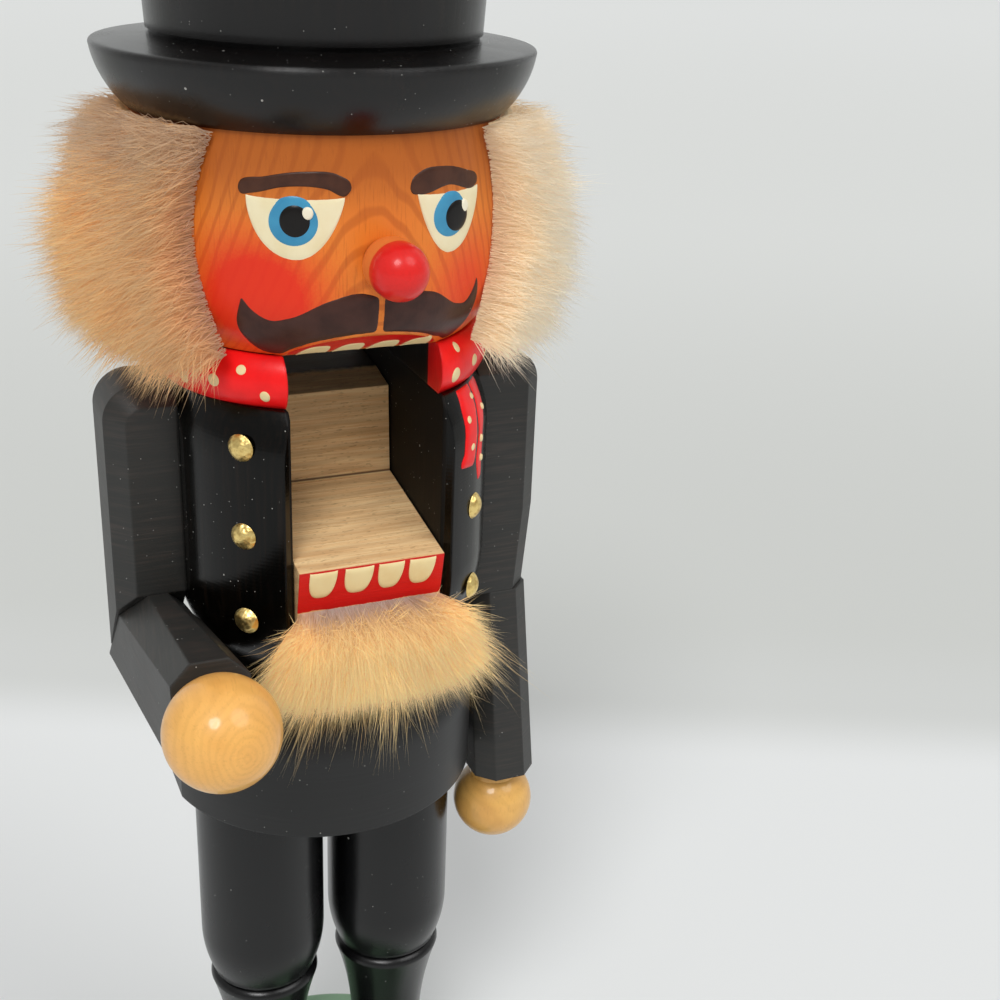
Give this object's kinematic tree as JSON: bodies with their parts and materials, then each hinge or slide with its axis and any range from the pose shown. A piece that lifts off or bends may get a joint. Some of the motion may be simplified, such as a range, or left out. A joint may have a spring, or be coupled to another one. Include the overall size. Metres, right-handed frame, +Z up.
{
  "type": "nutcracker figure",
  "caption": "Standing wooden figure whose lower jaw is the short end of a lever; lifting the lever at its back shuts the mouth on a nut.",
  "frame": {"origin": "centre of the round base's underside", "axes": "+Z up, the face looks along -Y, the figure's right arm is at -X"},
  "size_m": [0.1208, 0.1765, 0.364],
  "materials": {
    "base_green": "green satin paint on wood",
    "screw_steel": "plain steel",
    "black_gloss": "glossy black lacquer on turned wood",
    "black_matte": "matte black paint with a fine sparkle",
    "black_satin": "satin black paint on turned wood",
    "sleeve_black": "satin black paint over saw marks",
    "hat_black": "satin black paint over wood grain",
    "nail_brass": "bright brass",
    "scarf_red": "glossy red lacquer with cream dots",
    "skin_stain": "orange tan stain under satin varnish, painted face",
    "nose_red": "glossy red lacquer",
    "raw_beech": "raw beech with red and cream painted front",
    "hand_beech": "clear lacquer on beech",
    "dowel_beech": "plain beech",
    "hair_fur": "natural long fur",
    "beard_fur": "natural long fur"
  },
  "bodies": {
    "root": {"base_plate": "base_green", "base_screws": "screw_steel", "right_boot": "black_gloss", "left_boot": "black_gloss", "right_shoe_toe": "black_gloss", "left_shoe_toe": "black_gloss", "right_thigh": "black_gloss", "left_thigh": "black_gloss", "coat_skirt": "black_matte", "torso": "black_satin", "brass_nails": "nail_brass", "right_scarf_band": "scarf_red", "left_scarf_band": "scarf_red", "head": "skin_stain", "nose": "nose_red", "hat_brim": "hat_black", "hat_crown": "hat_black", "pivot_pin": "screw_steel", "left_upper_arm": "sleeve_black", "left_forearm": "sleeve_black", "left_hand": "hand_beech", "right_upper_arm": "sleeve_black", "right_forearm": "sleeve_black", "right_hand": "hand_beech", "leg_dowels": "dowel_beech", "waist_dowel": "dowel_beech", "neck_dowels": "dowel_beech", "hat_dowel": "dowel_beech", "shoulder_dowels": "dowel_beech", "elbow_dowels": "dowel_beech", "hair_fur": "hair_fur"},
    "lever": {"jaw_lever": "raw_beech", "lever_handle": "black_satin", "beard_fur": "beard_fur"}
  },
  "joints": [
    {"name": "jaw_hinge", "type": "hinge", "parent": "root", "child": "lever", "pos_m": [0, 0.014, 0.225], "axis": [-1, 0, 0], "range_deg": [0, 50]}
  ]
}
